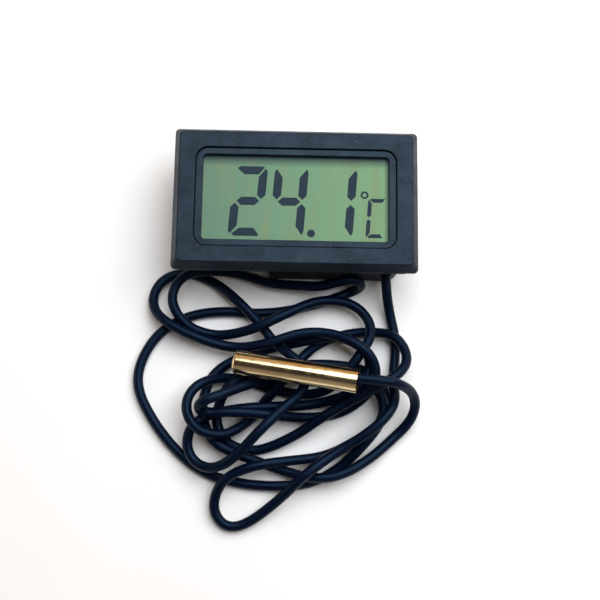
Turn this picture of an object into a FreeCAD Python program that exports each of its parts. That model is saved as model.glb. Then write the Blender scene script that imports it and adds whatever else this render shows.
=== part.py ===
import FreeCAD, Part
import math
import os

# A panel digital thermometer: a display module that snaps into a panel cut-out, with a battery
# box on its back, and a thin cord to a metal probe. Millimetres. The origin is the middle of
# the display module at the surface it lies on, +X to the display's right, +Y to the display's
# top, and +Z out of the display.

# ---- driving dimensions ----
BEZEL_WIDTH, BEZEL_HEIGHT = 48.0, 28.6
BEZEL_TAPER = 1.1  # how far each side leans in from the lip to the front face
BEZEL_CORNER = 0.9
BEZEL_EDGE = 0.3  # the rounding of the front face's outer edge
RING_EDGE = 0.15  # the rounding of the edges round the display
BODY_WIDTH, BODY_HEIGHT = 45.6, 26.2  # the box behind the bezel, for a 46.0 x 26.6 cut-out
BODY_CORNER = 1.0
WALL = 1.4
OPENING_WIDTH, OPENING_HEIGHT, OPENING_CORNER = 39.4, 20.0, 2.5
WINDOW_WIDTH, WINDOW_HEIGHT, WINDOW_CORNER = 36.4, 17.2, 0.8
FRAME_GAP = 0.1  # all round the display frame, in the bezel's opening

BOX_LEFT, BOX_RIGHT, BOX_BOTTOM, BOX_TOP = -5.0, 21.5, -12.9, 7.1  # the battery box
BOX_BEVEL = 1.8

# Heights, from the resting face up.
CHANNEL_Z = 1.4  # the top of the door's channel
BACK_Z = 7.0  # the back of the flat rear cover
BOARD_Z = 9.3
FLANGE_Z = 12.5  # the back of the bezel's flange
LIP_Z = 12.9  # where the bezel's taper starts
FRAME_Z = 14.7  # the face of the display frame
FRONT_Z = 15.1
COVER_Z = BACK_Z + WALL
BOARD_TOP_Z = BOARD_Z + 1.0

LCD_WIDTH, LCD_HEIGHT = 41.4, 19.2
GLASS = 0.7
POLARIZER = 0.2
REFLECTOR = 0.15
LCD_FACE_Z = 13.8
LEDGE = 2.2  # how much shorter the rear glass is, for the contacts
FRONT_GLASS_Z = LCD_FACE_Z - POLARIZER - GLASS
REAR_GLASS_Z = FRONT_GLASS_Z - GLASS
REAR_POLARIZER_Z = REAR_GLASS_Z - POLARIZER
REFLECTOR_Z = REAR_POLARIZER_Z - REFLECTOR

BOARD_WIDTH, BOARD_HEIGHT = 42.4, 23.0
STRIP_WIDTH = 35.0  # the contact strip and the cushion behind the glass

SCREWS = [(-19.5, -10.9), (-19.5, 10.9), (19.5, 10.9), (8.25, -10.9)]
SCREW_RADIUS, SCREW_PILOT, SCREW_CLEARANCE = 0.7, 0.6, 0.8
SCREW_HEAD_RADIUS, SCREW_HEAD, SCREW_HEAD_Z = 1.2, 0.7, 7.1
BOSS_RADIUS = 1.3
POST_CLEARANCE = 0.1  # between the rear cover's posts and the front case's walls
SCREW_END_Z, PILOT_END_Z = 12.4, 12.8

RAIL, GROOVE, GROOVE_GAP = 1.1, 0.6, 0.05  # the rails that hold the door, and their grooves
DOOR_GAP = 0.1  # on each side of the door
DOOR_Z, DOOR_TOP_Z, LINK_TOP_Z = 0.2, 1.1, 1.3
TONGUE_Z = (0.5, 1.0)

CELL_RADIUS, CELL_HEIGHT = 5.8, 5.4  # two standard 11.6 x 5.4 button cells
CELL_Y = -5.6
CELL_XS = [2.35, 14.15]
CELL_Z = 1.35
POCKET_RADIUS = 5.95  # a little over half the cells' spacing, so the two pockets join
CONTACT_REACH, CONTACT_HALF = 3.0, 1.5  # half the length and width of a contact strip
LEG_WIDTH, LEG_THICKNESS = 1.5, 0.3

CLIP_HALF_WIDTH = 3.6
CLIP_GAP = 0.3
# One clip's section, seen along Y: an arm with a barb that stands 2.1 below the flange.
CLIP_INSIDE, CLIP_OUTSIDE, BARB_TIP = 21.75, 22.55, 23.3
CLIP_START_Z, BARB_START_Z, BARB_TIP_Z, BARB_Z, CLIP_END_Z = 8.6, 9.0, 10.2, 10.4, 11.7

CORD_DIAMETER = 2.0
EXIT_X, EXIT_Z = 18.5, 4.5
COLLAR_Y = -10.9  # the inner end of the crimped collar on the cord
COLLAR_RADIUS, CRIMP = 1.45, 0.05
COLLAR_ROOM = 1.6  # half the width of the hollow round the collar
CORD_HOLE_GAP = 0.1
LEAD_XS, LEAD_Y, LEAD_DIAMETER = (18.2, 18.9), -10.2, 0.5

PROBE_OPEN = FreeCAD.Vector(12.5, -35.3, 11.0)  # the centre of the probe's open end
PROBE_TIP = FreeCAD.Vector(-11.4, -31.3, 6.9)
PROBE_RADIUS, PROBE_BORE = 2.35, 1.9
TIP_ROUNDING, TIP_WALL = 0.6, 1.2
POTTING_RECESS = 0.6
POTTING_END, BEAD_START, BEAD_END = 6.0, 20.0, 23.2  # in from the probe's open end

# The cord's route from the case to the probe, as it lies loosely heaped in front of the case.
ROUTE = [
    # out of the case and down to the table
    (18.5, -10.9, 4.5), (18.5, -15, 4.5), (19.5, -20, 1.5), (21, -26, 1),
    # up over the tangle's right side and down to the far loop
    (20, -34, 2.5), (20.5, -38, 4.5), (18.5, -41.5, 6), (14.5, -45, 5.5), (8.5, -48.5, 4),
    (2.5, -53, 6), (-2, -57.5, 2.5), (-8.5, -62.5, 1), (-12.5, -63, 1), (-15, -60, 1.5),
    (-14.5, -56, 2.5), (-12, -53, 4),
    # back from the far loop
    (-6.5, -51, 5), (0.5, -50, 3.5), (7, -49, 1), (13.5, -45.5, 1.5), (17, -43, 1), (19, -40, 1),
    # low under the probe
    (19, -36, 1), (16.5, -32.5, 1), (12.5, -31, 1), (5, -30.5, 1.5), (-2, -31.5, 1),
    (-9, -33, 3), (-12.5, -35.5, 4), (-14.5, -39, 2),
    # under the left bends and back to the right
    (-15, -42.5, 1), (-13.5, -46, 1), (-10, -48, 1), (-5.5, -48, 1), (1, -45, 2), (6, -41.5, 4),
    (12, -38, 5.5), (15.5, -36.5, 8),
    # round the right-hand bend by the case
    (20.5, -33.5, 7.5), (22.5, -31, 6), (22.5, -28, 4.5), (20.5, -25, 3.5),
    # back to the left
    (17.5, -24, 2), (12, -24, 1), (5.5, -26, 1), (1, -30.5, 3.5), (-1.5, -34, 5),
    (-3.5, -36.5, 4), (-5.5, -38.5, 1.5), (-7.5, -41.5, 1),
    # round the left-hand bend
    (-12, -45, 3.5), (-15, -45.5, 5), (-18.5, -44.5, 6), (-20.5, -41.5, 6.5), (-20.5, -38, 5.5),
    (-18, -35, 4.5),
    # back to the right under the probe
    (-13, -33.5, 1.5), (-8.5, -34.5, 1), (-1.5, -36.5, 1), (4.5, -37, 2), (9, -35, 4),
    (13.5, -29, 6), (15.5, -25.5, 4.5), (15.5, -22.5, 3.5),
    # round the loop nearest the case
    (13.5, -19.5, 3), (10, -18, 3.5), (4.5, -18, 3.5), (-2, -21.5, 5.5), (-8, -24.5, 5),
    (-14.5, -25.5, 2), (-19.5, -24.5, 2.5), (-22.5, -22.5, 3.5), (-24.5, -19, 3.5),
    (-24, -15.5, 3.5), (-21.5, -13, 4), (-16.5, -12, 3), (-10.5, -12.5, 2),
    # along the battery box and through its tight fold
    (-5, -14.5, 2.5), (0.5, -15, 3.5), (5.5, -15.5, 5), (9, -14.5, 6), (12, -14, 6),
    (13.5, -14.5, 4.5), (13.5, -15, 2.5), (12, -15.5, 1), (8.5, -17, 1), (4, -18.5, 1),
    # wide outer loop
    (-2, -20, 1), (-8, -20.5, 1), (-14, -20, 1), (-21, -21, 1), (-27, -24.5, 1),
    (-30.5, -30.5, 1), (-31, -36, 1), (-27.5, -42.5, 1), (-23, -48, 1), (-17.5, -52.5, 1),
    (-10.5, -54.5, 1), (-3.5, -55, 1), (3.5, -54.5, 1), (9.5, -51.5, 1),
    # forward again on the right
    (14.5, -46.5, 3.5), (17.5, -42.5, 3.5), (18.5, -39, 3), (17, -35.5, 2.5), (13.5, -33, 2.5),
    (7.5, -32.5, 2),
    # to the small left fold
    (0.5, -33.5, 1.5), (-6, -34.5, 4), (-9.5, -36, 7), (-13.6, -38, 9.2), (-16.7, -39.2, 9.7),
    (-18, -40, 8.6), (-17.9, -40.9, 6.9), (-16.3, -41.2, 5.8),
    # back to the right
    (-13.5, -41, 5.8), (-8.5, -41, 5.5), (-3, -41.5, 5), (3.5, -41.5, 1), (10, -40.5, 1),
    (15, -37, 4), (16.5, -34, 6), (16, -30.5, 7),
    # across to the upper left loop
    (13, -27.5, 8), (7.5, -25, 6), (1.5, -25, 6), (-5, -27.5, 6), (-11.5, -28, 2.5),
    (-18.5, -26.5, 4), (-25, -23.5, 4.5), (-28, -20.5, 2.5), (-28.5, -17, 1.5),
    (-26.5, -13.5, 1), (-22, -12, 1),
    # through the middle
    (-16, -14, 1), (-11, -18.5, 3.5), (-7, -22.5, 3), (-3.5, -27, 3.5), (-0.5, -29.5, 5.5),
    (2.5, -32, 6), (2.5, -36.5, 5.5),
    # round the lower left loop
    (-1.5, -40, 7), (-6, -44.5, 8), (-11, -50, 6), (-15, -52, 4), (-18.5, -51, 3),
    (-20.5, -48, 3), (-20, -44, 4),
    # back to the right
    (-17, -41.5, 3.5), (-10.5, -40, 3.5), (-3.5, -39.5, 3.5), (3, -39, 1), (10, -37.5, 3),
    (13.5, -35.5, 4.5), (15.5, -32, 4.5),
    # last turn to the left
    (15, -28.5, 3.5), (12, -26, 2.5), (8, -25, 3.5), (2, -26.5, 3.5), (-4.5, -27.5, 1),
    (-12, -30, 1), (-16.5, -33.5, 1), (-18, -39.5, 1), (-17, -44, 2),
    # outermost loop on the right
    (-14.5, -47.5, 3.5), (-7.5, -50, 3), (-1, -52, 1.5), (4, -53.5, 3.5), (9.5, -53, 3.5),
    (15.5, -49.5, 2), (20.5, -45, 1),
    # over the tangle and into the probe
    (23.5, -42, 2), (24.5, -39, 4), (23.5, -36.5, 6.5), (20.5, -35.5, 10.5), (16.5, -35, 11.5),
    (12.15, -34.7, 11.05),
]


def block(x0, x1, y0, y1, z0, z1):
    return Part.makeBox(x1 - x0, y1 - y0, z1 - z0, FreeCAD.Vector(x0, y0, z0))


def post(x, y, z0, z1, radius):
    return Part.makeCylinder(radius, z1 - z0, FreeCAD.Vector(x, y, z0))


def outline(width, height, radius, z):
    """A closed wire: a rectangle with round corners, centred on the Z axis."""
    a, b = width / 2 - radius, height / 2 - radius
    corners = [(a, b, 0), (-a, b, 90), (-a, -b, 180), (a, -b, 270)]
    arcs = []
    for x, y, start in corners:
        points = []
        for turn in (0, 45, 90):
            angle = math.radians(start + turn)
            points.append(
                FreeCAD.Vector(x + radius * math.cos(angle), y + radius * math.sin(angle), z)
            )
        arcs.append(Part.Arc(*points))
    edges = []
    for arc, following in zip(arcs, arcs[1:] + arcs[:1]):
        edges.append(arc.toShape())
        edges.append(Part.LineSegment(arc.EndPoint, following.StartPoint).toShape())
    return Part.Wire(edges)


def slab(width, height, radius, z0, z1):
    face = Part.Face(outline(width, height, radius, z0))
    return face.extrude(FreeCAD.Vector(0, 0, z1 - z0))


def cut_all(shape, tools):
    for tool in tools:
        shape = shape.cut(tool)
    return shape


def fuse_all(shape, others):
    for other in others:
        shape = shape.fuse(other)
    return shape.removeSplitter()


def tube_path(points):
    """Straight runs joined by tangent arcs, as a wire, and the arcs' radii."""
    points = [FreeCAD.Vector(*p) for p in points]
    edges, radii = [], []
    start = points[0]
    for before, corner, after in zip(points, points[1:], points[2:]):
        into, out = corner - before, after - corner
        turn = into.getAngle(out)
        reach = 0.45 * min(into.Length, out.Length)
        radius = reach / math.tan(turn / 2)
        into.normalize()
        out.normalize()
        first, last = corner - into * reach, corner + out * reach
        inward = (out - into).normalize()
        middle = corner + inward * (radius / math.cos(turn / 2) - radius)
        edges.append(Part.LineSegment(start, first).toShape())
        edges.append(Part.Arc(first, middle, last).toShape())
        radii.append(radius)
        start = last
    edges.append(Part.LineSegment(start, points[-1]).toShape())
    return Part.Wire(edges), radii


def tube(points, diameter):
    """A round tube along the runs and arcs, and its path's length."""
    path, radii = tube_path(points)
    direction = FreeCAD.Vector(*points[1]) - FreeCAD.Vector(*points[0])
    ring = Part.Wire(Part.makeCircle(diameter / 2, FreeCAD.Vector(*points[0]), direction))
    return path.makePipeShell([ring], True, False), path.Length, radii


def rounded(shape, z, radius, width, height):
    """The shape with its edges at height z rounded, those inside that rectangle."""
    near = 0.01
    edges = []
    for edge in shape.Edges:
        box = edge.BoundBox
        level = max(abs(box.ZMin - z), abs(box.ZMax - z)) < near
        across = max(box.XMax, -box.XMin) < width / 2 + near
        up = max(box.YMax, -box.YMin) < height / 2 + near
        if level and across and up:
            edges.append(edge)
    return shape.makeFillet(radius, edges)


def front_case():
    """The bezel with the box walls and screw bosses behind it."""
    lip = slab(BEZEL_WIDTH, BEZEL_HEIGHT, BEZEL_CORNER, FLANGE_Z, LIP_Z)
    front = outline(
        BEZEL_WIDTH - 2 * BEZEL_TAPER, BEZEL_HEIGHT - 2 * BEZEL_TAPER, BEZEL_CORNER, FRONT_Z
    )
    taper = Part.makeLoft(
        [outline(BEZEL_WIDTH, BEZEL_HEIGHT, BEZEL_CORNER, LIP_Z), front], True, True
    )
    taper = rounded(taper, FRONT_Z, BEZEL_EDGE, BEZEL_WIDTH, BEZEL_HEIGHT)
    walls = slab(BODY_WIDTH, BODY_HEIGHT, BODY_CORNER, COVER_Z, FLANGE_Z)
    case = fuse_all(walls, [lip, taper])
    inside = slab(
        BODY_WIDTH - 2 * WALL, BODY_HEIGHT - 2 * WALL, BODY_CORNER / 2, COVER_Z, LCD_FACE_Z
    )
    opening = slab(OPENING_WIDTH, OPENING_HEIGHT, OPENING_CORNER, LCD_FACE_Z, FRONT_Z)
    case = cut_all(case, [inside, opening])
    case = rounded(case, FRONT_Z, RING_EDGE, OPENING_WIDTH, OPENING_HEIGHT)
    bosses = [post(x, y, BOARD_TOP_Z, LCD_FACE_Z, BOSS_RADIUS) for x, y in SCREWS]
    case = fuse_all(case, bosses)
    pilots = [post(x, y, BOARD_TOP_Z, PILOT_END_Z, SCREW_PILOT) for x, y in SCREWS]
    reach = CLIP_HALF_WIDTH + CLIP_GAP
    windows = []
    for side in (-1, 1):
        ends = sorted((side * (BODY_WIDTH / 2 - WALL), side * (BODY_WIDTH / 2)))
        windows.append(block(*ends, -reach, reach, COVER_Z, CLIP_END_Z + CLIP_GAP))
    return cut_all(case, pilots + windows)


def display_frame():
    """The flat ring that drops into the bezel's opening and covers the glass's edge."""
    ring = slab(
        OPENING_WIDTH - 2 * FRAME_GAP,
        OPENING_HEIGHT - 2 * FRAME_GAP,
        OPENING_CORNER - FRAME_GAP,
        LCD_FACE_Z,
        FRAME_Z,
    )
    ring = ring.cut(slab(WINDOW_WIDTH, WINDOW_HEIGHT, WINDOW_CORNER, LCD_FACE_Z, FRAME_Z))
    return rounded(ring, FRAME_Z, RING_EDGE, OPENING_WIDTH, OPENING_HEIGHT)


def lcd_layer(z, thickness, inset=0.0, ledge=0.0):
    x, y = LCD_WIDTH / 2 - inset, LCD_HEIGHT / 2 - inset
    return block(-x, x, -y + ledge, y, z, z + thickness)


def contact_bar(y0, y1, top):
    """A soft bar between the board and the display, right across it."""
    return block(-STRIP_WIDTH / 2, STRIP_WIDTH / 2, y0, y1, BOARD_TOP_Z, top)


def circuit_board():
    x, y = BOARD_WIDTH / 2, BOARD_HEIGHT / 2
    board = block(-x, x, -y, y, BOARD_Z, BOARD_TOP_Z)
    return cut_all(board, [post(*p, BOARD_Z, BOARD_TOP_Z, SCREW_CLEARANCE) for p in SCREWS])


def chip_blob():
    """The bonded chip under its drop of black resin, a low dome."""
    radius, height = 4.5, 1.2
    ball = (radius**2 + height**2) / (2 * height)
    dome = Part.makeSphere(ball, FreeCAD.Vector(-4, 0, BOARD_TOP_Z + height - ball))
    return dome.common(block(-10, 2, -6, 6, BOARD_TOP_Z, BOARD_TOP_Z + height))


def crystal():
    radius = 0.75
    start = FreeCAD.Vector(8, 3, BOARD_TOP_Z + radius)
    return Part.makeCylinder(radius, 5.0, start, FreeCAD.Vector(1, 0, 0))


def board_components():
    """Surface-mounted resistors and capacitors, in one row and one pair."""
    places = [(4, -4), (7, -4), (10, -4), (13, -4), (-12, 4), (-12, 1)]
    chips = [block(x, x + 1.6, y, y + 0.8, BOARD_TOP_Z, BOARD_TOP_Z + 0.5) for x, y in places]
    return Part.makeCompound(chips)


def case_screws():
    arm, half_slot, slot_top = 0.8, 0.15, SCREW_HEAD_Z + SCREW_HEAD / 2
    screws = []
    for x, y in SCREWS:
        shank = post(x, y, SCREW_HEAD_Z + SCREW_HEAD, SCREW_END_Z, SCREW_RADIUS)
        head = post(x, y, SCREW_HEAD_Z, SCREW_HEAD_Z + SCREW_HEAD, SCREW_HEAD_RADIUS)
        slots = [
            block(x - across, x + across, y - up, y + up, SCREW_HEAD_Z, slot_top)
            for across, up in ((arm, half_slot), (half_slot, arm))
        ]
        screws.append(cut_all(shank.fuse(head).removeSplitter(), slots))
    return Part.makeCompound(screws)


def rear_case():
    """The flat rear cover with the battery box standing on its back."""
    cover = slab(BODY_WIDTH, BODY_HEIGHT, BODY_CORNER, BACK_Z, COVER_Z)
    corners = [
        (BOX_LEFT, BOX_BOTTOM),
        (BOX_RIGHT - BOX_BEVEL, BOX_BOTTOM),
        (BOX_RIGHT, BOX_BOTTOM + BOX_BEVEL),
        (BOX_RIGHT, BOX_TOP),
        (BOX_LEFT, BOX_TOP),
        (BOX_LEFT, BOX_BOTTOM),
    ]
    plan = Part.Face(Part.makePolygon([FreeCAD.Vector(x, y, 0) for x, y in corners]))
    box = plan.extrude(FreeCAD.Vector(0, 0, BACK_Z))
    room = slab(
        BODY_WIDTH - 2 * (WALL + POST_CLEARANCE),
        BODY_HEIGHT - 2 * (WALL + POST_CLEARANCE),
        BODY_CORNER / 2,
        COVER_Z,
        BOARD_Z,
    )
    posts = [post(x, y, COVER_Z, BOARD_Z, BOSS_RADIUS).common(room) for x, y in SCREWS]
    case = fuse_all(cover, [box] + posts)

    past = BOX_TOP + 1  # the channel and its grooves are open at the top end
    left, right, bottom = BOX_LEFT + RAIL, BOX_RIGHT - RAIL, BOX_BOTTOM + RAIL
    channel = block(left, right, bottom, past, 0, CHANNEL_Z)
    groove_z = (TONGUE_Z[0] - GROOVE_GAP, TONGUE_Z[1] + GROOVE_GAP)
    grooves = block(left - GROOVE, right + GROOVE, bottom + 2 * GROOVE, past, *groove_z)
    pockets = [post(x, CELL_Y, CHANNEL_Z, BACK_Z, POCKET_RADIUS) for x in CELL_XS]
    above_cells = CELL_Y + POCKET_RADIUS + WALL
    hollow = block(
        BOX_LEFT + WALL, BOX_RIGHT - WALL, above_cells, BOX_TOP - WALL, CHANNEL_Z, BACK_Z
    )
    cord_hole = Part.makeCylinder(
        CORD_DIAMETER / 2 + CORD_HOLE_GAP,
        WALL,
        FreeCAD.Vector(EXIT_X, BOX_BOTTOM, EXIT_Z),
        FreeCAD.Vector(0, 1, 0),
    )
    collar_room = block(
        EXIT_X - COLLAR_ROOM,
        EXIT_X + COLLAR_ROOM,
        BOX_BOTTOM + WALL,
        COLLAR_Y + 1.5,
        EXIT_Z - COLLAR_ROOM,
        BACK_Z,
    )
    spare = 0.4  # on each side of the wires
    wires = (LEAD_XS[0] - spare, LEAD_XS[1] + spare, LEAD_Y - spare, LEAD_Y + spare + 0.1)
    wire_slot = block(*wires, BACK_Z, COVER_Z)
    leg = LEG_WIDTH / 2 + 0.15
    leg_y = CELL_Y + CONTACT_HALF
    contact_slots = [
        block(x - leg, x + leg, leg_y - 0.1, leg_y + 0.4, BACK_Z, COVER_Z) for x in CELL_XS
    ]
    case = cut_all(case, [channel, grooves, *pockets, hollow, cord_hole])
    case = cut_all(case, [collar_room, wire_slot, *contact_slots])
    for x, y in SCREWS:
        shank = post(x, y, BACK_Z, BOARD_Z, SCREW_CLEARANCE)
        # The screw below the cells is reached through a well, under the battery door.
        well_start = CHANNEL_Z if x > BOX_LEFT and y < BOX_TOP else BACK_Z
        well = post(x, y, well_start, SCREW_HEAD_Z + SCREW_HEAD, SCREW_HEAD_RADIUS + 0.1)
        case = cut_all(case, [shank, well])
    return case


def battery_door():
    """Slides out along +Y. Its tongues run in the battery box's side grooves."""
    inset = RAIL + DOOR_GAP
    left, right, bottom = BOX_LEFT + inset, BOX_RIGHT - inset, BOX_BOTTOM + inset
    plate = block(left, right, bottom, BOX_TOP, DOOR_Z, DOOR_TOP_Z)
    tongues = block(left - GROOVE, right + GROOVE, bottom + 2 * GROOVE, BOX_TOP, *TONGUE_Z)
    door = fuse_all(plate, [tongues])
    middle, half_grip, grip_width = (left + right) / 2, 5.0, 0.6
    grips = [
        block(middle - half_grip, middle + half_grip, y, y + grip_width, DOOR_Z, TONGUE_Z[0])
        for y in (2.4, 3.8, 5.2)
    ]
    return cut_all(door, grips)


def battery_link():
    """The strip on the door that joins the two cells' lower faces."""
    return block(
        CELL_XS[0] - CONTACT_REACH,
        CELL_XS[1] + CONTACT_REACH,
        CELL_Y - CONTACT_HALF,
        CELL_Y + CONTACT_HALF,
        DOOR_TOP_Z,
        LINK_TOP_Z,
    )


def battery_contact(x):
    """A strip on top of one cell, with a leg up to the board."""
    leg_start, leg_end = CELL_Y + CONTACT_HALF, CELL_Y + CONTACT_HALF + LEG_THICKNESS
    half = LEG_WIDTH / 2
    strip = block(
        x - CONTACT_REACH,
        x + CONTACT_REACH,
        CELL_Y - CONTACT_HALF,
        leg_end,
        CELL_Z + CELL_HEIGHT,
        BACK_Z,
    )
    leg = block(x - half, x + half, leg_start, leg_end, BACK_Z, BOARD_Z)
    return fuse_all(strip, [leg])


def button_cell(x, cap_up):
    """The can, the sealing gasket and the cap of one cell."""
    can_height, rim, cap_radius, seat = 4.7, 5.3, 4.95, 0.8
    top = CELL_Z + can_height
    end = CELL_Z + CELL_HEIGHT
    can = post(x, CELL_Y, CELL_Z, top, CELL_RADIUS).cut(
        post(x, CELL_Y, top - seat, top, rim)
    )
    cap = post(x, CELL_Y, top - seat, end, cap_radius)
    gasket = post(x, CELL_Y, top - seat, top, rim).cut(
        post(x, CELL_Y, top - seat, top, cap_radius)
    )
    pieces = [can, gasket, cap]
    if not cap_up:
        middle = FreeCAD.Vector(x, CELL_Y, CELL_Z + CELL_HEIGHT / 2)
        pieces = [piece.mirror(middle, FreeCAD.Vector(0, 0, 1)) for piece in pieces]
    return pieces


def snap_clip(side):
    """A spring arm with a barb that holds the panel against the bezel's flange."""
    profile = [
        (CLIP_INSIDE, CLIP_START_Z),
        (CLIP_OUTSIDE, CLIP_START_Z),
        (CLIP_OUTSIDE, BARB_START_Z),
        (BARB_TIP, BARB_TIP_Z),
        (BARB_TIP, BARB_Z),
        (CLIP_OUTSIDE, BARB_Z),
        (CLIP_OUTSIDE, CLIP_END_Z),
        (CLIP_INSIDE, CLIP_END_Z),
        (CLIP_INSIDE, CLIP_START_Z),
    ]
    points = [FreeCAD.Vector(side * x, -CLIP_HALF_WIDTH, z) for x, z in profile]
    face = Part.Face(Part.makePolygon(points))
    return face.extrude(FreeCAD.Vector(0, 2 * CLIP_HALF_WIDTH, 0))


def cord_collar():
    """The metal ring crimped on the cord behind the wall, which takes its pull."""
    start = FreeCAD.Vector(EXIT_X, BOX_BOTTOM + WALL, EXIT_Z)
    along = FreeCAD.Vector(0, 1, 0)
    width = COLLAR_Y - start.y
    ring = Part.makeCylinder(COLLAR_RADIUS, width, start, along)
    return ring.cut(Part.makeCylinder(CORD_DIAMETER / 2 - CRIMP, width, start, along))


def lead_wire(x):
    """One insulated core, from the cord's end up to the board."""
    points = [(x, COLLAR_Y, EXIT_Z), (x, LEAD_Y, EXIT_Z), (x, LEAD_Y, BOARD_Z)]
    return tube(points, LEAD_DIAMETER)[0]


def along_probe(distance):
    """A point on the probe's axis, that far in from its open end."""
    axis = (PROBE_TIP - PROBE_OPEN).normalize()
    return PROBE_OPEN + axis * distance


def probe_rod(start, end, radius):
    base = along_probe(start)
    return Part.makeCylinder(radius, end - start, base, PROBE_TIP - PROBE_OPEN)


def probe_shell():
    length = (PROBE_TIP - PROBE_OPEN).Length
    shell = probe_rod(0, length, PROBE_RADIUS)
    rims = [e for e in shell.Edges if e.CenterOfMass.distanceToPoint(PROBE_TIP) < 0.01]
    shell = shell.makeFillet(TIP_ROUNDING, rims)
    return shell.cut(probe_rod(0, length - TIP_WALL, PROBE_BORE))


def thermistor_leads():
    spacing, radius = 0.5, 0.15
    side = FreeCAD.Vector(0, 0, 1).cross(PROBE_TIP - PROBE_OPEN).normalize() * spacing
    leads = []
    for offset in (side, side * -1):
        lead = probe_rod(POTTING_END, BEAD_START, radius)
        lead.translate(offset)
        leads.append(lead)
    return Part.makeCompound(leads)


def thermistor_bead():
    bead = probe_rod(BEAD_START, BEAD_END, 1.2)
    rims = [e for e in bead.Edges if len(e.Vertexes) == 1]
    return bead.makeFillet(0.8, rims)


def build():
    probe_cord, cord_length, radii = tube(ROUTE, CORD_DIAMETER)
    swept = math.pi * CORD_DIAMETER**2 / 4 * cord_length
    print(f"cord: {cord_length:.1f} long, volume {probe_cord.Volume:.1f} of {swept:.1f}")
    print("bend radii:", " ".join(f"{r:.1f}" for r in sorted(radii)))

    nodes = {
        "front_case": front_case(),
        "display_frame": display_frame(),
        "lcd_front_polarizer": lcd_layer(LCD_FACE_Z - POLARIZER, POLARIZER),
        "lcd_front_glass": lcd_layer(FRONT_GLASS_Z, GLASS),
        "lcd_rear_glass": lcd_layer(REAR_GLASS_Z, GLASS, ledge=LEDGE),
        "lcd_rear_polarizer": lcd_layer(REAR_POLARIZER_Z, POLARIZER, 0.2, LEDGE),
        "lcd_reflector": lcd_layer(REFLECTOR_Z, REFLECTOR, 0.2, LEDGE),
        "zebra_strip": contact_bar(-9.3, -7.7, FRONT_GLASS_Z),
        "display_cushion": contact_bar(6.2, 8.0, REFLECTOR_Z),
        "circuit_board": circuit_board(),
        "chip_blob": chip_blob(),
        "crystal": crystal(),
        "board_components": board_components(),
        "case_screws": case_screws(),
        "rear_case": rear_case(),
        "battery_door": battery_door(),
        "battery_link": battery_link(),
        "positive_contact": battery_contact(CELL_XS[0]),
        "negative_contact": battery_contact(CELL_XS[1]),
        "left_snap_clip": snap_clip(-1),
        "right_snap_clip": snap_clip(1),
        "cord_collar": cord_collar(),
        "lead_wire_1": lead_wire(LEAD_XS[0]),
        "lead_wire_2": lead_wire(LEAD_XS[1]),
        "probe_cord": probe_cord,
        "probe_shell": probe_shell(),
        "probe_potting": probe_rod(POTTING_RECESS, POTTING_END, PROBE_BORE),
        "thermistor_leads": thermistor_leads(),
        "thermistor_bead": thermistor_bead(),
    }
    for number, (x, cap_up) in enumerate(zip(CELL_XS, (False, True)), 1):
        for part, shape in zip(("can", "gasket", "cap"), button_cell(x, cap_up)):
            nodes[f"cell_{number}_{part}"] = shape
    return nodes


def main():
    os.makedirs("parts", exist_ok=True)
    for name, shape in build().items():
        print(name, shape.isValid(), len(shape.Solids), round(shape.Volume, 2))
        shape.exportStep(f"parts/{name}.step")


main()
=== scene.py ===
import math

import bmesh
import bpy
from mathutils import Euler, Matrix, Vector


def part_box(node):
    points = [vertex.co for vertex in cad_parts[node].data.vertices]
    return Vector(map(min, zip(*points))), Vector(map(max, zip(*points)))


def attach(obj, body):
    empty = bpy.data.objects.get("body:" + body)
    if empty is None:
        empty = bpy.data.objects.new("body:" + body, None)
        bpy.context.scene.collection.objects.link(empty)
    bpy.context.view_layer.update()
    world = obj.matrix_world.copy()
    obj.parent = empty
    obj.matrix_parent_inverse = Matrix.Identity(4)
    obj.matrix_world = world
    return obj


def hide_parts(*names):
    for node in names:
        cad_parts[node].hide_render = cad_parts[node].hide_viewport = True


# The looks of a panel digital thermometer: its finishes, the digits on its display, and the
# long thin cord that lies heaped in front of it.

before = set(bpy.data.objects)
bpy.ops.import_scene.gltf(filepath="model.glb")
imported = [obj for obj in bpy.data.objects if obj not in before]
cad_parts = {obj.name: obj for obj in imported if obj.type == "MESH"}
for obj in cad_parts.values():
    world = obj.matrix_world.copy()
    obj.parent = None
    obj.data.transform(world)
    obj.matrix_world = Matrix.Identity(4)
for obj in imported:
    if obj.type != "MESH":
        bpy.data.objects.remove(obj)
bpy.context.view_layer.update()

MM = 0.001  # lengths in this script are in millimetres, and are turned into metres where used

CORD_DIAMETER = 2.0

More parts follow.
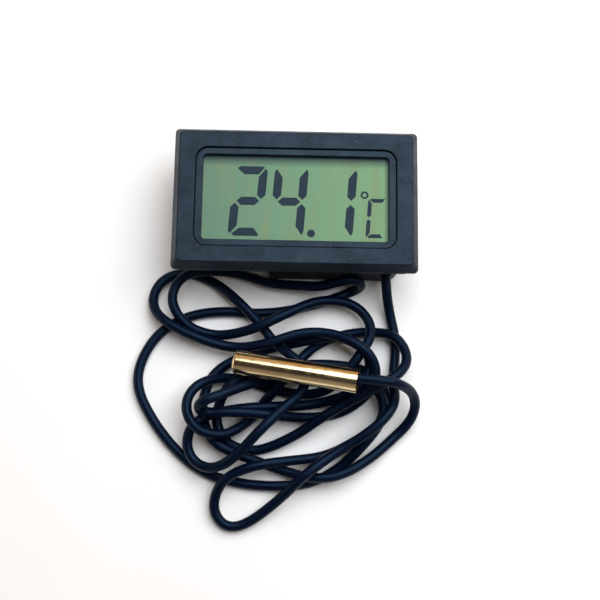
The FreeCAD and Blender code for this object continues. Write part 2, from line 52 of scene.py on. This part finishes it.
# The cord's route from the case to the probe, as it lies loosely heaped in front of the case.
# Most of these points were not chosen by hand: scripts fitted them to a path traced in
# the photograph, chose their heights and rounded them. The rest were given directly.
ROUTE = [
    # out of the case and down to the table
    (18.5, -10.9, 4.5), (18.5, -15, 4.5), (19.5, -20, 1.5), (21, -26, 1),
    # up over the tangle's right side and down to the far loop
    (20, -34, 2.5), (20.5, -38, 4.5), (18.5, -41.5, 6), (14.5, -45, 5.5), (8.5, -48.5, 4),
    (2.5, -53, 6), (-2, -57.5, 2.5), (-8.5, -62.5, 1), (-12.5, -63, 1), (-15, -60, 1.5),
    (-14.5, -56, 2.5), (-12, -53, 4),
    # back from the far loop
    (-6.5, -51, 5), (0.5, -50, 3.5), (7, -49, 1), (13.5, -45.5, 1.5), (17, -43, 1), (19, -40, 1),
    # low under the probe
    (19, -36, 1), (16.5, -32.5, 1), (12.5, -31, 1), (5, -30.5, 1.5), (-2, -31.5, 1),
    (-9, -33, 3), (-12.5, -35.5, 4), (-14.5, -39, 2),
    # under the left bends and back to the right
    (-15, -42.5, 1), (-13.5, -46, 1), (-10, -48, 1), (-5.5, -48, 1), (1, -45, 2), (6, -41.5, 4),
    (12, -38, 5.5), (15.5, -36.5, 8),
    # round the right-hand bend by the case
    (20.5, -33.5, 7.5), (22.5, -31, 6), (22.5, -28, 4.5), (20.5, -25, 3.5),
    # back to the left
    (17.5, -24, 2), (12, -24, 1), (5.5, -26, 1), (1, -30.5, 3.5), (-1.5, -34, 5),
    (-3.5, -36.5, 4), (-5.5, -38.5, 1.5), (-7.5, -41.5, 1),
    # round the left-hand bend
    (-12, -45, 3.5), (-15, -45.5, 5), (-18.5, -44.5, 6), (-20.5, -41.5, 6.5), (-20.5, -38, 5.5),
    (-18, -35, 4.5),
    # back to the right under the probe
    (-13, -33.5, 1.5), (-8.5, -34.5, 1), (-1.5, -36.5, 1), (4.5, -37, 2), (9, -35, 4),
    (13.5, -29, 6), (15.5, -25.5, 4.5), (15.5, -22.5, 3.5),
    # round the loop nearest the case
    (13.5, -19.5, 3), (10, -18, 3.5), (4.5, -18, 3.5), (-2, -21.5, 5.5), (-8, -24.5, 5),
    (-14.5, -25.5, 2), (-19.5, -24.5, 2.5), (-22.5, -22.5, 3.5), (-24.5, -19, 3.5),
    (-24, -15.5, 3.5), (-21.5, -13, 4), (-16.5, -12, 3), (-10.5, -12.5, 2),
    # along the battery box and through its tight fold
    (-5, -14.5, 2.5), (0.5, -15, 3.5), (5.5, -15.5, 5), (9, -14.5, 6), (12, -14, 6),
    (13.5, -14.5, 4.5), (13.5, -15, 2.5), (12, -15.5, 1), (8.5, -17, 1), (4, -18.5, 1),
    # wide outer loop
    (-2, -20, 1), (-8, -20.5, 1), (-14, -20, 1), (-21, -21, 1), (-27, -24.5, 1),
    (-30.5, -30.5, 1), (-31, -36, 1), (-27.5, -42.5, 1), (-23, -48, 1), (-17.5, -52.5, 1),
    (-10.5, -54.5, 1), (-3.5, -55, 1), (3.5, -54.5, 1), (9.5, -51.5, 1),
    # forward again on the right
    (14.5, -46.5, 3.5), (17.5, -42.5, 3.5), (18.5, -39, 3), (17, -35.5, 2.5), (13.5, -33, 2.5),
    (7.5, -32.5, 2),
    # to the small left fold
    (0.5, -33.5, 1.5), (-6, -34.5, 4), (-9.5, -36, 7), (-13.6, -38, 9.2), (-16.7, -39.2, 9.7),
    (-18, -40, 8.6), (-17.9, -40.9, 6.9), (-16.3, -41.2, 5.8),
    # back to the right
    (-13.5, -41, 5.8), (-8.5, -41, 5.5), (-3, -41.5, 5), (3.5, -41.5, 1), (10, -40.5, 1),
    (15, -37, 4), (16.5, -34, 6), (16, -30.5, 7),
    # across to the upper left loop
    (13, -27.5, 8), (7.5, -25, 6), (1.5, -25, 6), (-5, -27.5, 6), (-11.5, -28, 2.5),
    (-18.5, -26.5, 4), (-25, -23.5, 4.5), (-28, -20.5, 2.5), (-28.5, -17, 1.5),
    (-26.5, -13.5, 1), (-22, -12, 1),
    # through the middle
    (-16, -14, 1), (-11, -18.5, 3.5), (-7, -22.5, 3), (-3.5, -27, 3.5), (-0.5, -29.5, 5.5),
    (2.5, -32, 6), (2.5, -36.5, 5.5),
    # round the lower left loop
    (-1.5, -40, 7), (-6, -44.5, 8), (-11, -50, 6), (-15, -52, 4), (-18.5, -51, 3),
    (-20.5, -48, 3), (-20, -44, 4),
    # back to the right
    (-17, -41.5, 3.5), (-10.5, -40, 3.5), (-3.5, -39.5, 3.5), (3, -39, 1), (10, -37.5, 3),
    (13.5, -35.5, 4.5), (15.5, -32, 4.5),
    # last turn to the left
    (15, -28.5, 3.5), (12, -26, 2.5), (8, -25, 3.5), (2, -26.5, 3.5), (-4.5, -27.5, 1),
    (-12, -30, 1), (-16.5, -33.5, 1), (-18, -39.5, 1), (-17, -44, 2),
    # outermost loop on the right
    (-14.5, -47.5, 3.5), (-7.5, -50, 3), (-1, -52, 1.5), (4, -53.5, 3.5), (9.5, -53, 3.5),
    (15.5, -49.5, 2), (20.5, -45, 1),
    # over the tangle and into the probe
    (23.5, -42, 2), (24.5, -39, 4), (23.5, -36.5, 6.5), (20.5, -35.5, 10.5), (16.5, -35, 11.5),
    (12.15, -34.7, 11.05),
]

# The digits on the display, in a seven-segment face.
DIGIT_SLANT = 0.072  # how far a digit leans to the right, for each millimetre up
DIGITS_Y = -0.6  # the middle of the digits
DIGIT_THICKNESS = 0.02
SMALL_LETTER_Y = -3.65
CIRCLE_STEPS = 32
SEGMENTS = {
    "2": ["top", "upper_right", "middle", "lower_left", "bottom"],
    "4": ["upper_left", "upper_right", "middle", "lower_right"],
    "1": ["upper_right", "lower_right"],
    "C": ["top", "upper_left", "lower_left", "bottom"],
}

# The display frame's rim, from its outer edge to the window, across and up.
RIM = (1.4, 1.3, 0)

FLOOR_REACH = 500  # how far the floor goes each way
FLOOR_LEVEL = -0.02  # a hair under the object, so that the two don't share a plane

# The camera, fitted by a script to the outlines of the bezel and the window in the photograph.
CAMERA_PLACE = (-2.478, -63.778, 217.569)
CAMERA_TURN = (0.21039, -0.02130, 0.01911)  # in radians
FOCAL_LENGTH, SENSOR_WIDTH = 65.29, 36.0

LIGHT_AIM = (0, -30, 9)  # the middle of the heap


# ---- finishes ----


def srgb(red, green, blue):
    """A colour given as it looks on screen, 0 to 255, as the linear colour a shader takes."""
    linear = []
    for channel in (red, green, blue):
        share = channel / 255
        linear.append(share / 12.92 if share <= 0.04045 else ((share + 0.055) / 1.055) ** 2.4)
    return (*linear, 1.0)


def map_range(tree, value, low, high, to_low, to_high):
    """The value, from one range to another, and no further."""
    ranged = tree.nodes.new("ShaderNodeMapRange")
    for socket, number in zip(
        ("From Min", "From Max", "To Min", "To Max"), (low, high, to_low, to_high)
    ):
        ranged.inputs[socket].default_value = number
    tree.links.new(value, ranged.inputs["Value"])
    return ranged.outputs["Result"]


def mix_colors(tree, share, first, second):
    """A colour between two others. Each is a colour or another node's output."""
    mix = tree.nodes.new("ShaderNodeMix")
    mix.data_type = "RGBA"
    tree.links.new(share, mix.inputs["Factor"])
    for socket, color in ((mix.inputs[6], first), (mix.inputs[7], second)):
        if isinstance(color, tuple):
            socket.default_value = color
        else:
            tree.links.new(color, socket)
    return mix.outputs[2]


class Finish:
    """A material with a Principled shader, and short ways to add nodes to it."""

    def __init__(self, name, color, roughness, **constants):
        self.material = bpy.data.materials.new(name)
        self.material.use_nodes = True
        self.tree = self.material.node_tree
        self.nodes = self.tree.nodes
        self.shader = self.nodes["Principled BSDF"]
        self.shader.inputs["Base Color"].default_value = color
        self.shader.inputs["Roughness"].default_value = roughness
        for socket, value in constants.items():
            self.shader.inputs[socket.replace("_", " ")].default_value = value
        self.place = self.nodes.new("ShaderNodeTexCoord").outputs["Object"]

    def link(self, output, socket):
        self.tree.links.new(output, socket)

    def stretched(self, scale):
        """Object coordinates, scaled differently along each axis."""
        mapping = self.nodes.new("ShaderNodeMapping")
        mapping.inputs["Scale"].default_value = scale
        self.link(self.place, mapping.inputs["Vector"])
        return mapping.outputs["Vector"]

    def noise(self, size, detail=2.0, place=None):
        """Cloudy noise, with features of about that size in millimetres."""
        texture = self.nodes.new("ShaderNodeTexNoise")
        texture.inputs["Scale"].default_value = 1 / (size * MM)
        texture.inputs["Detail"].default_value = detail
        self.link(place or self.place, texture.inputs["Vector"])
        return texture.outputs["Fac"]

    def spots(self, spacing):
        """The distance to the nearest of many scattered points, as a share of their spacing."""
        texture = self.nodes.new("ShaderNodeTexVoronoi")
        texture.inputs["Scale"].default_value = 1 / (spacing * MM)
        self.link(self.place, texture.inputs["Vector"])
        return texture.outputs["Distance"]

    def along(self, axis):
        """One of the object coordinates."""
        split = self.nodes.new("ShaderNodeSeparateXYZ")
        self.link(self.place, split.inputs["Vector"])
        return split.outputs[axis]

    def remap(self, value, low, high, to_low, to_high):
        return map_range(self.tree, value, low, high, to_low, to_high)

    def multiply(self, first, second):
        product = self.nodes.new("ShaderNodeMath")
        product.operation = "MULTIPLY"
        self.link(first, product.inputs[0])
        self.link(second, product.inputs[1])
        return product.outputs["Value"]

    def blend(self, share, first, second):
        return mix_colors(self.tree, share, first, second)

    def dusted(self, shade, dust, speck, patches, patch, most):
        """The shade, with specks of dust where a noise has its patches. A speck fades out over
        the range speck, a patch fades in over the range patch, and most is its full strength."""
        specks = self.remap(self.spots(1.1), *speck, 1, 0)
        where = self.remap(patches, *patch, 0, most)
        return self.blend(self.multiply(specks, where), shade, dust)

    def color(self, output):
        self.link(output, self.shader.inputs["Base Color"])

    def roughness(self, value, low, high):
        """Roughness that goes from low to high as the value goes through its middle range."""
        self.link(self.remap(value, 0.3, 0.7, low, high), self.shader.inputs["Roughness"])

    def bump(self, height, depth, strength):
        """Relief of that depth in millimetres."""
        relief = self.nodes.new("ShaderNodeBump")
        relief.inputs["Strength"].default_value = strength
        relief.inputs["Distance"].default_value = depth * MM
        self.link(height, relief.inputs["Height"])
        self.link(relief.outputs["Normal"], self.shader.inputs["Normal"])


def moulded_plastic(name, color, light_color, roughness, grain, gloss):
    """Fine spark-eroded texture, a little uneven in shade and gloss, with specks of dust."""
    grain_color = srgb(25, 35, 45)
    finish = Finish(
        name, color, roughness, Specular_IOR_Level=gloss, Specular_Tint=(0.55, 0.76, 1.0, 1.0)
    )
    shade = finish.blend(finish.remap(finish.noise(9, 4), 0.35, 0.7, 0, 1), color, light_color)
    shade = finish.blend(finish.remap(finish.noise(0.45), 0.4, 0.65, 0, 0.5), shade, grain_color)
    dust = srgb(132, 136, 140)
    patches = finish.noise(3.5, 3)
    finish.color(finish.dusted(shade, dust, (0.06, 0.11), patches, (0.54, 0.62), 0.75))
    finish.roughness(finish.noise(3.5, 3), roughness - 0.08, roughness + 0.1)
    finish.bump(finish.noise(grain, 4), 0.05, 0.75)
    return finish.material


def display_film():
    """The grey-green front film, in faint upright bands, with painted shadow along the window's top
    and right edges.
    """
    left, right = srgb(95, 129, 109), srgb(112, 150, 112)
    straw, blue = srgb(118, 132, 94), srgb(24, 38, 52)
    finish = Finish("display_film", left, 0.4, Specular_IOR_Level=0.12)
    across = finish.remap(finish.along("X"), -16 * MM, 14 * MM, 0, 1)
    shade = finish.blend(across, left, right)
    bands = finish.noise(2.8, 1, finish.stretched((1, 0.14, 1)))
    shade = finish.blend(finish.remap(bands, 0.48, 0.7, 0, 0.5), shade, straw)
    grain = finish.remap(finish.noise(0.25, 2), 0.3, 0.7, 0, 0.16)
    shade = finish.blend(grain, shade, srgb(74, 104, 86))
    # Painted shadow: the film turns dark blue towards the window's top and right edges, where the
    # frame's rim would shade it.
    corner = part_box("display_frame")[1] - Vector(RIM) * MM
    for axis, edge, reach, most in (("Y", corner.y, 2.2, 1.0), ("X", corner.x, 0.9, 0.6)):
        share = finish.remap(finish.along(axis), edge - reach * MM, edge, 0, most)
        shade = finish.blend(share, shade, blue)
    finish.color(shade)
    finish.bump(finish.noise(0.12, 1), 0.004, 0.4)
    return finish.material


def segment_ink():
    """The dark segments, with the film's fine grain."""
    finish = Finish("segment_ink", srgb(22, 40, 54), 0.4, Specular_IOR_Level=0.1)
    grain = finish.remap(finish.noise(0.25, 2), 0.3, 0.7, 0, 1)
    finish.color(finish.blend(grain, srgb(18, 36, 52), srgb(27, 46, 58)))
    return finish.material


def clear_glass():
    finish = Finish("clear_glass", (0.86, 0.93, 0.9, 1.0), 0.05, Transmission_Weight=1.0, IOR=1.5)
    finish.roughness(finish.noise(4, 3), 0.02, 0.08)
    return finish.material


def rubber(name, color, light_color, roughness, grain):
    """Soft moulded rubber or skin, faintly dusty."""
    finish = Finish(
        name, color, roughness, Specular_IOR_Level=0.22, Specular_Tint=(0.32, 0.6, 1.0, 1.0)
    )
    shade = finish.blend(finish.remap(finish.noise(5, 4), 0.4, 0.75, 0, 1), color, light_color)
    dust = srgb(120, 124, 128)
    finish.color(finish.dusted(shade, dust, (0.04, 0.08), finish.noise(6, 2), (0.6, 0.68), 0.35))
    finish.roughness(finish.noise(1.6, 3), roughness - 0.06, roughness + 0.08)
    finish.bump(finish.noise(grain, 2), 0.02, 0.35)
    return finish.material


def metal(name, color, dull_color, roughness, stretch, size=0.4, relief=0.004):
    """Worn metal with fine drawing lines along one axis, and duller patches."""
    finish = Finish(name, color, roughness, Metallic=1.0)
    lines = finish.noise(size, 3, finish.stretched(stretch))
    patches = finish.remap(finish.noise(4, 5), 0.5, 0.72, 0, 0.8)
    finish.color(finish.blend(patches, color, dull_color))
    finish.roughness(lines, roughness * 0.8, roughness * 1.3)
    finish.bump(lines, relief, 0.25)
    return finish.material


def solder_mask():
    """Green solder mask over copper tracks."""
    finish = Finish("solder_mask", srgb(22, 84, 48), 0.3, Coat_Weight=0.4, Coat_Roughness=0.2)
    tracks = finish.nodes.new("ShaderNodeTexBrick")
    tracks.inputs["Scale"].default_value = 1 / (4 * MM)
    tracks.inputs["Mortar Size"].default_value = 0.06
    tracks.inputs["Color1"].default_value = srgb(18, 74, 42)
    tracks.inputs["Color2"].default_value = srgb(24, 88, 52)
    tracks.inputs["Mortar"].default_value = srgb(52, 128, 74)
    finish.link(finish.place, tracks.inputs["Vector"])
    finish.color(tracks.outputs["Color"])
    finish.bump(tracks.outputs["Fac"], 0.03, 0.6)
    return finish.material


def cast_resin():
    """Black potting resin with a few small bubbles."""
    finish = Finish("cast_resin", srgb(14, 14, 16), 0.28)
    bubble = finish.remap(finish.spots(0.7), 0.06, 0.12, 0, 1)
    finish.color(finish.blend(finish.noise(1.2, 3), srgb(10, 10, 12), srgb(26, 26, 30)))
    finish.roughness(finish.noise(0.8, 3), 0.22, 0.4)
    finish.bump(bubble, 0.05, 0.6)
    return finish.material


def ceramic():
    """Small brown ceramic chips."""
    finish = Finish("ceramic", srgb(120, 96, 72), 0.55)
    finish.color(finish.blend(finish.noise(0.5, 3), srgb(104, 82, 60), srgb(140, 116, 90)))
    finish.bump(finish.noise(0.1, 2), 0.01, 0.4)
    return finish.material


def paper_floor():
    """Smooth white paper, hardly mottled."""
    finish = Finish("paper_floor", (0.9, 0.9, 0.9, 1.0), 0.85, Specular_IOR_Level=0.15)
    mottle = finish.remap(finish.noise(60, 3), 0.3, 0.7, 0, 1)
    finish.color(finish.blend(mottle, (0.89, 0.89, 0.89, 1.0), (0.92, 0.92, 0.92, 1.0)))
    finish.bump(finish.noise(0.5, 2), 0.02, 0.2)
    return finish.material


def paint(material, *names):
    """Gives CAD nodes their finish."""
    for name in names:
        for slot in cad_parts[name].material_slots:
            slot.material = material


def paint_frame():
    paint(
        moulded_plastic("case_plastic", srgb(2, 8, 20), srgb(14, 23, 34), 0.45, 0.28, 0.3),
        "front_case",
    )
    paint(
        moulded_plastic("frame_plastic", srgb(6, 14, 26), srgb(14, 23, 34), 0.42, 0.3, 0.3),
        "display_frame",
    )
    paint(
        moulded_plastic("rear_plastic", srgb(9, 12, 24), srgb(18, 21, 33), 0.5, 0.16, 0.1),
        "rear_case", "battery_door", "left_snap_clip", "right_snap_clip",
    )
    paint(display_film(), "lcd_front_polarizer", "lcd_rear_polarizer")
    paint(clear_glass(), "lcd_front_glass", "lcd_rear_glass")
    paint(metal("foil", srgb(214, 214, 210), srgb(180, 182, 180), 0.35, (1, 1, 1)), "lcd_reflector")
    paint(
        rubber("soft_rubber", srgb(60, 60, 62), srgb(78, 78, 80), 0.7, 0.3),
        "zebra_strip", "display_cushion", "cell_1_gasket", "cell_2_gasket",
    )
    paint(solder_mask(), "circuit_board")
    paint(cast_resin(), "chip_blob", "probe_potting", "thermistor_bead")
    paint(ceramic(), "board_components")
    steel = metal("steel", srgb(196, 196, 192), srgb(160, 160, 158), 0.28, (1, 1, 0.1))
    paint(steel, "case_screws", "crystal", "thermistor_leads", "cord_collar")
    for number in (1, 2):
        paint(steel, f"cell_{number}_can", f"cell_{number}_cap")
    strip = metal("contact_metal", srgb(214, 182, 120), srgb(170, 138, 88), 0.3, (0.1, 1, 1))
    paint(strip, "positive_contact", "negative_contact", "battery_link")
    paint(
        rubber("wire_skin", srgb(150, 34, 28), srgb(170, 48, 38), 0.5, 0.3),
        "lead_wire_1", "lead_wire_2",
    )
    brass = metal(
        "probe_metal", srgb(238, 216, 170), srgb(226, 196, 146), 0.17, (1, 1, 1), 1.5, 0.001
    )
    paint(brass, "probe_shell")


# ---- pieces ----


def mesh_piece(name, build, material):
    """A new piece on the case, with the mesh that build() makes."""
    mesh = bpy.data.meshes.new(name)
    shape = bmesh.new()
    build(shape)
    bmesh.ops.recalc_face_normals(shape, faces=shape.faces)
    shape.to_mesh(mesh)
    shape.free()
    mesh.materials.append(material)
    piece = bpy.data.objects.new(name, mesh)
    bpy.context.scene.collection.objects.link(piece)
    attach(piece, "case")


def segment_shapes(column, half_height, width):
    """A seven-segment digit's seven outlines about its own middle, leaning nowhere yet. column
    is how far its side segments stand from its middle."""
    half = width / 2
    bar = [
        (-column - 0.09 * width, half_height - 0.25 * width),
        (-column + 0.3 * width, half_height),
        (column - 0.05 * width, half_height),
        (column + 0.12 * width, half_height - 0.15 * width),
        (column - 0.55 * width, half_height - width),
        (0.8 * width - column, half_height - width),
    ]
    upright = [
        (column - half, 0.75 * width),
        (column, 0.25 * width),
        (column + half, 0.75 * width),
        (column + half, half_height - 0.9 * width),
        (column + 0.45 * width, half_height - 0.5 * width),
        (column + 0.27 * width, half_height - 0.27 * width),
        (column - half, half_height - 1.3 * width),
    ]
    tip, shoulder = column - 0.17 * width, column - 0.7 * width
    middle = [
        (-tip, 0), (-shoulder, half), (shoulder, half),
        (tip, 0), (shoulder, -half), (-shoulder, -half),
    ]

    def flipped(points, across, up):
        return [(x * across, y * up) for x, y in points]

    return {
        "top": bar,
        "bottom": flipped(bar, 1, -1),
        "middle": middle,
        "upper_right": upright,
        "upper_left": flipped(upright, -1, 1),
        "lower_right": flipped(upright, 1, -1),
        "lower_left": flipped(upright, -1, -1),
    }


def ring_points(x, y, radius):
    return [
        (
            x + radius * math.cos(2 * math.pi * step / CIRCLE_STEPS),
            y + radius * math.sin(2 * math.pi * step / CIRCLE_STEPS),
        )
        for step in range(CIRCLE_STEPS)
    ]


def add_slab(shape, points, z):
    """A thin closed slab with that outline, standing on height z."""
    base = [shape.verts.new((x * MM, y * MM, z)) for x, y in points]
    face = shape.faces.new(base)
    grown = bmesh.ops.extrude_face_region(shape, geom=[face])["geom"]
    raised = [part for part in grown if isinstance(part, bmesh.types.BMVert)]
    bmesh.ops.translate(shape, verts=raised, vec=(0, 0, DIGIT_THICKNESS * MM))


def add_ring(shape, x, y, outer, inner, z):
    """A thin flat ring standing on height z."""
    rims = []
    for radius, height in ((outer, 0), (outer, 1), (inner, 1), (inner, 0)):
        level = z + height * DIGIT_THICKNESS * MM
        rims.append(
            [shape.verts.new((px * MM, py * MM, level)) for px, py in ring_points(x, y, radius)]
        )
    for rim, following in zip(rims, rims[1:] + rims[:1]):
        for step in range(CIRCLE_STEPS):
            ahead = (step + 1) % CIRCLE_STEPS
            shape.faces.new((rim[step], rim[ahead], following[ahead], following[step]))


def display_digits():
    """24.1 and the degree sign with a C, as the liquid crystal's dark segments."""
    face_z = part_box("lcd_front_polarizer")[1].z
    large = segment_shapes(column=2.5, half_height=7.09, width=1.65)
    small = segment_shapes(column=1.4, half_height=3.98, width=0.78)
    characters = [
        ("2", -9.34, DIGITS_Y, large),
        ("4", -1.3, DIGITS_Y, large),
        ("1", 8.3, DIGITS_Y, large),
        ("C", 15.7, SMALL_LETTER_Y, small),
    ]

    def build(shape):
        for character, x, y, outlines in characters:
            for segment in SEGMENTS[character]:
                points = [(x + u + v * DIGIT_SLANT, y + v) for u, v in outlines[segment]]
                add_slab(shape, points, face_z)
        add_slab(shape, ring_points(x=3.08, y=-6.95, radius=0.77), face_z)
        add_ring(shape, x=13.46, y=1.03, outer=0.78, inner=0.4, z=face_z)

    mesh_piece("display_digits", build, segment_ink())


def cord():
    """The whole cord as one smooth line."""
    curve = bpy.data.curves.new("cord", "CURVE")
    curve.dimensions = "3D"
    curve.bevel_depth = CORD_DIAMETER / 2 * MM
    curve.bevel_resolution = 5
    curve.use_fill_caps = True
    curve.resolution_u = 8
    spline = curve.splines.new("NURBS")
    spline.points.add(len(ROUTE) - 1)
    for point, place in zip(spline.points, ROUTE):
        point.co = (*(Vector(place) * MM), 1.0)
    spline.order_u = 3
    spline.use_endpoint_u = True
    curve.materials.append(rubber("cord_skin", srgb(0, 5, 24), srgb(3, 10, 30), 0.42, 0.25))
    piece = bpy.data.objects.new("cord", curve)
    bpy.context.scene.collection.objects.link(piece)
    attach(piece, "case")
    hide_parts("probe_cord")


# ---- surroundings ----


def floor():
    mesh = bpy.data.meshes.new("floor")
    reach, level = FLOOR_REACH * MM, FLOOR_LEVEL * MM
    corners = [(-reach, -reach), (reach, -reach), (reach, reach), (-reach, reach)]
    mesh.from_pydata([(x, y, level) for x, y in corners], [], [(0, 1, 2, 3)])
    mesh.materials.append(paper_floor())
    piece = bpy.data.objects.new("floor", mesh)
    bpy.context.scene.collection.objects.link(piece)


def soft_light(name, place, width, height, power, color):
    """A large rectangular light, aimed at the heap. place, width and height are in millimetres."""
    light = bpy.data.lights.new(name, "AREA")
    light.shape = "RECTANGLE"
    light.size, light.size_y = width * MM, height * MM
    light.energy = power
    light.color = color
    lamp = bpy.data.objects.new(name, light)
    lamp.location = Vector(place) * MM
    lamp.rotation_euler = (Vector(LIGHT_AIM) - Vector(place)).to_track_quat("-Z", "Y").to_euler()
    bpy.context.scene.collection.objects.link(lamp)


def room():
    """A dim room: pale at the horizon, then warm walls, and dark overhead."""
    world = bpy.data.worlds.new("room")
    world.use_nodes = True
    tree = world.node_tree
    direction = tree.nodes.new("ShaderNodeTexCoord").outputs["Generated"]
    split = tree.nodes.new("ShaderNodeSeparateXYZ")
    tree.links.new(direction, split.inputs["Vector"])

    def blend(axis, low, high, first, second):
        """From the first colour to the second as that axis of the direction goes up."""
        share = map_range(tree, split.outputs[axis], low, high, 0, 1)
        return mix_colors(tree, share, first, second)

    walls = blend("Y", -0.3, 0.3, (0.27, 0.225, 0.2, 1.0), (0.5, 0.3, 0.13, 1.0))
    low = blend("Z", 0.1, 0.2, (0.62, 0.6, 0.58, 1.0), walls)
    sky = blend("Z", 0.55, 0.82, low, (0.03, 0.027, 0.027, 1.0))
    tree.links.new(sky, tree.nodes["Background"].inputs["Color"])
    bpy.context.scene.world = world


def lights():
    soft_light("window", (120, 124, 374), 500, 430, power=2.97, color=(0.94, 0.972, 1.0))
    soft_light("side", (-1500, 80, 430), 930, 570, power=2.6, color=(0.94, 0.97, 1.0))


def camera():
    """Looking steeply down at the display from a little in front of it."""
    lens = bpy.data.cameras.new("camera")
    lens.lens, lens.sensor_width = FOCAL_LENGTH, SENSOR_WIDTH
    lens.clip_start, lens.clip_end = 0.01, 10.0
    eye = bpy.data.objects.new("camera", lens)
    eye.location = Vector(CAMERA_PLACE) * MM
    eye.rotation_mode = "YXZ"
    eye.rotation_euler = Euler(CAMERA_TURN, "YXZ")
    bpy.context.scene.collection.objects.link(eye)
    bpy.context.scene.camera = eye


camera()
cord()
paint_frame()
display_digits()
floor()
room()
lights()
bpy.context.scene.view_settings.view_transform = "Standard"
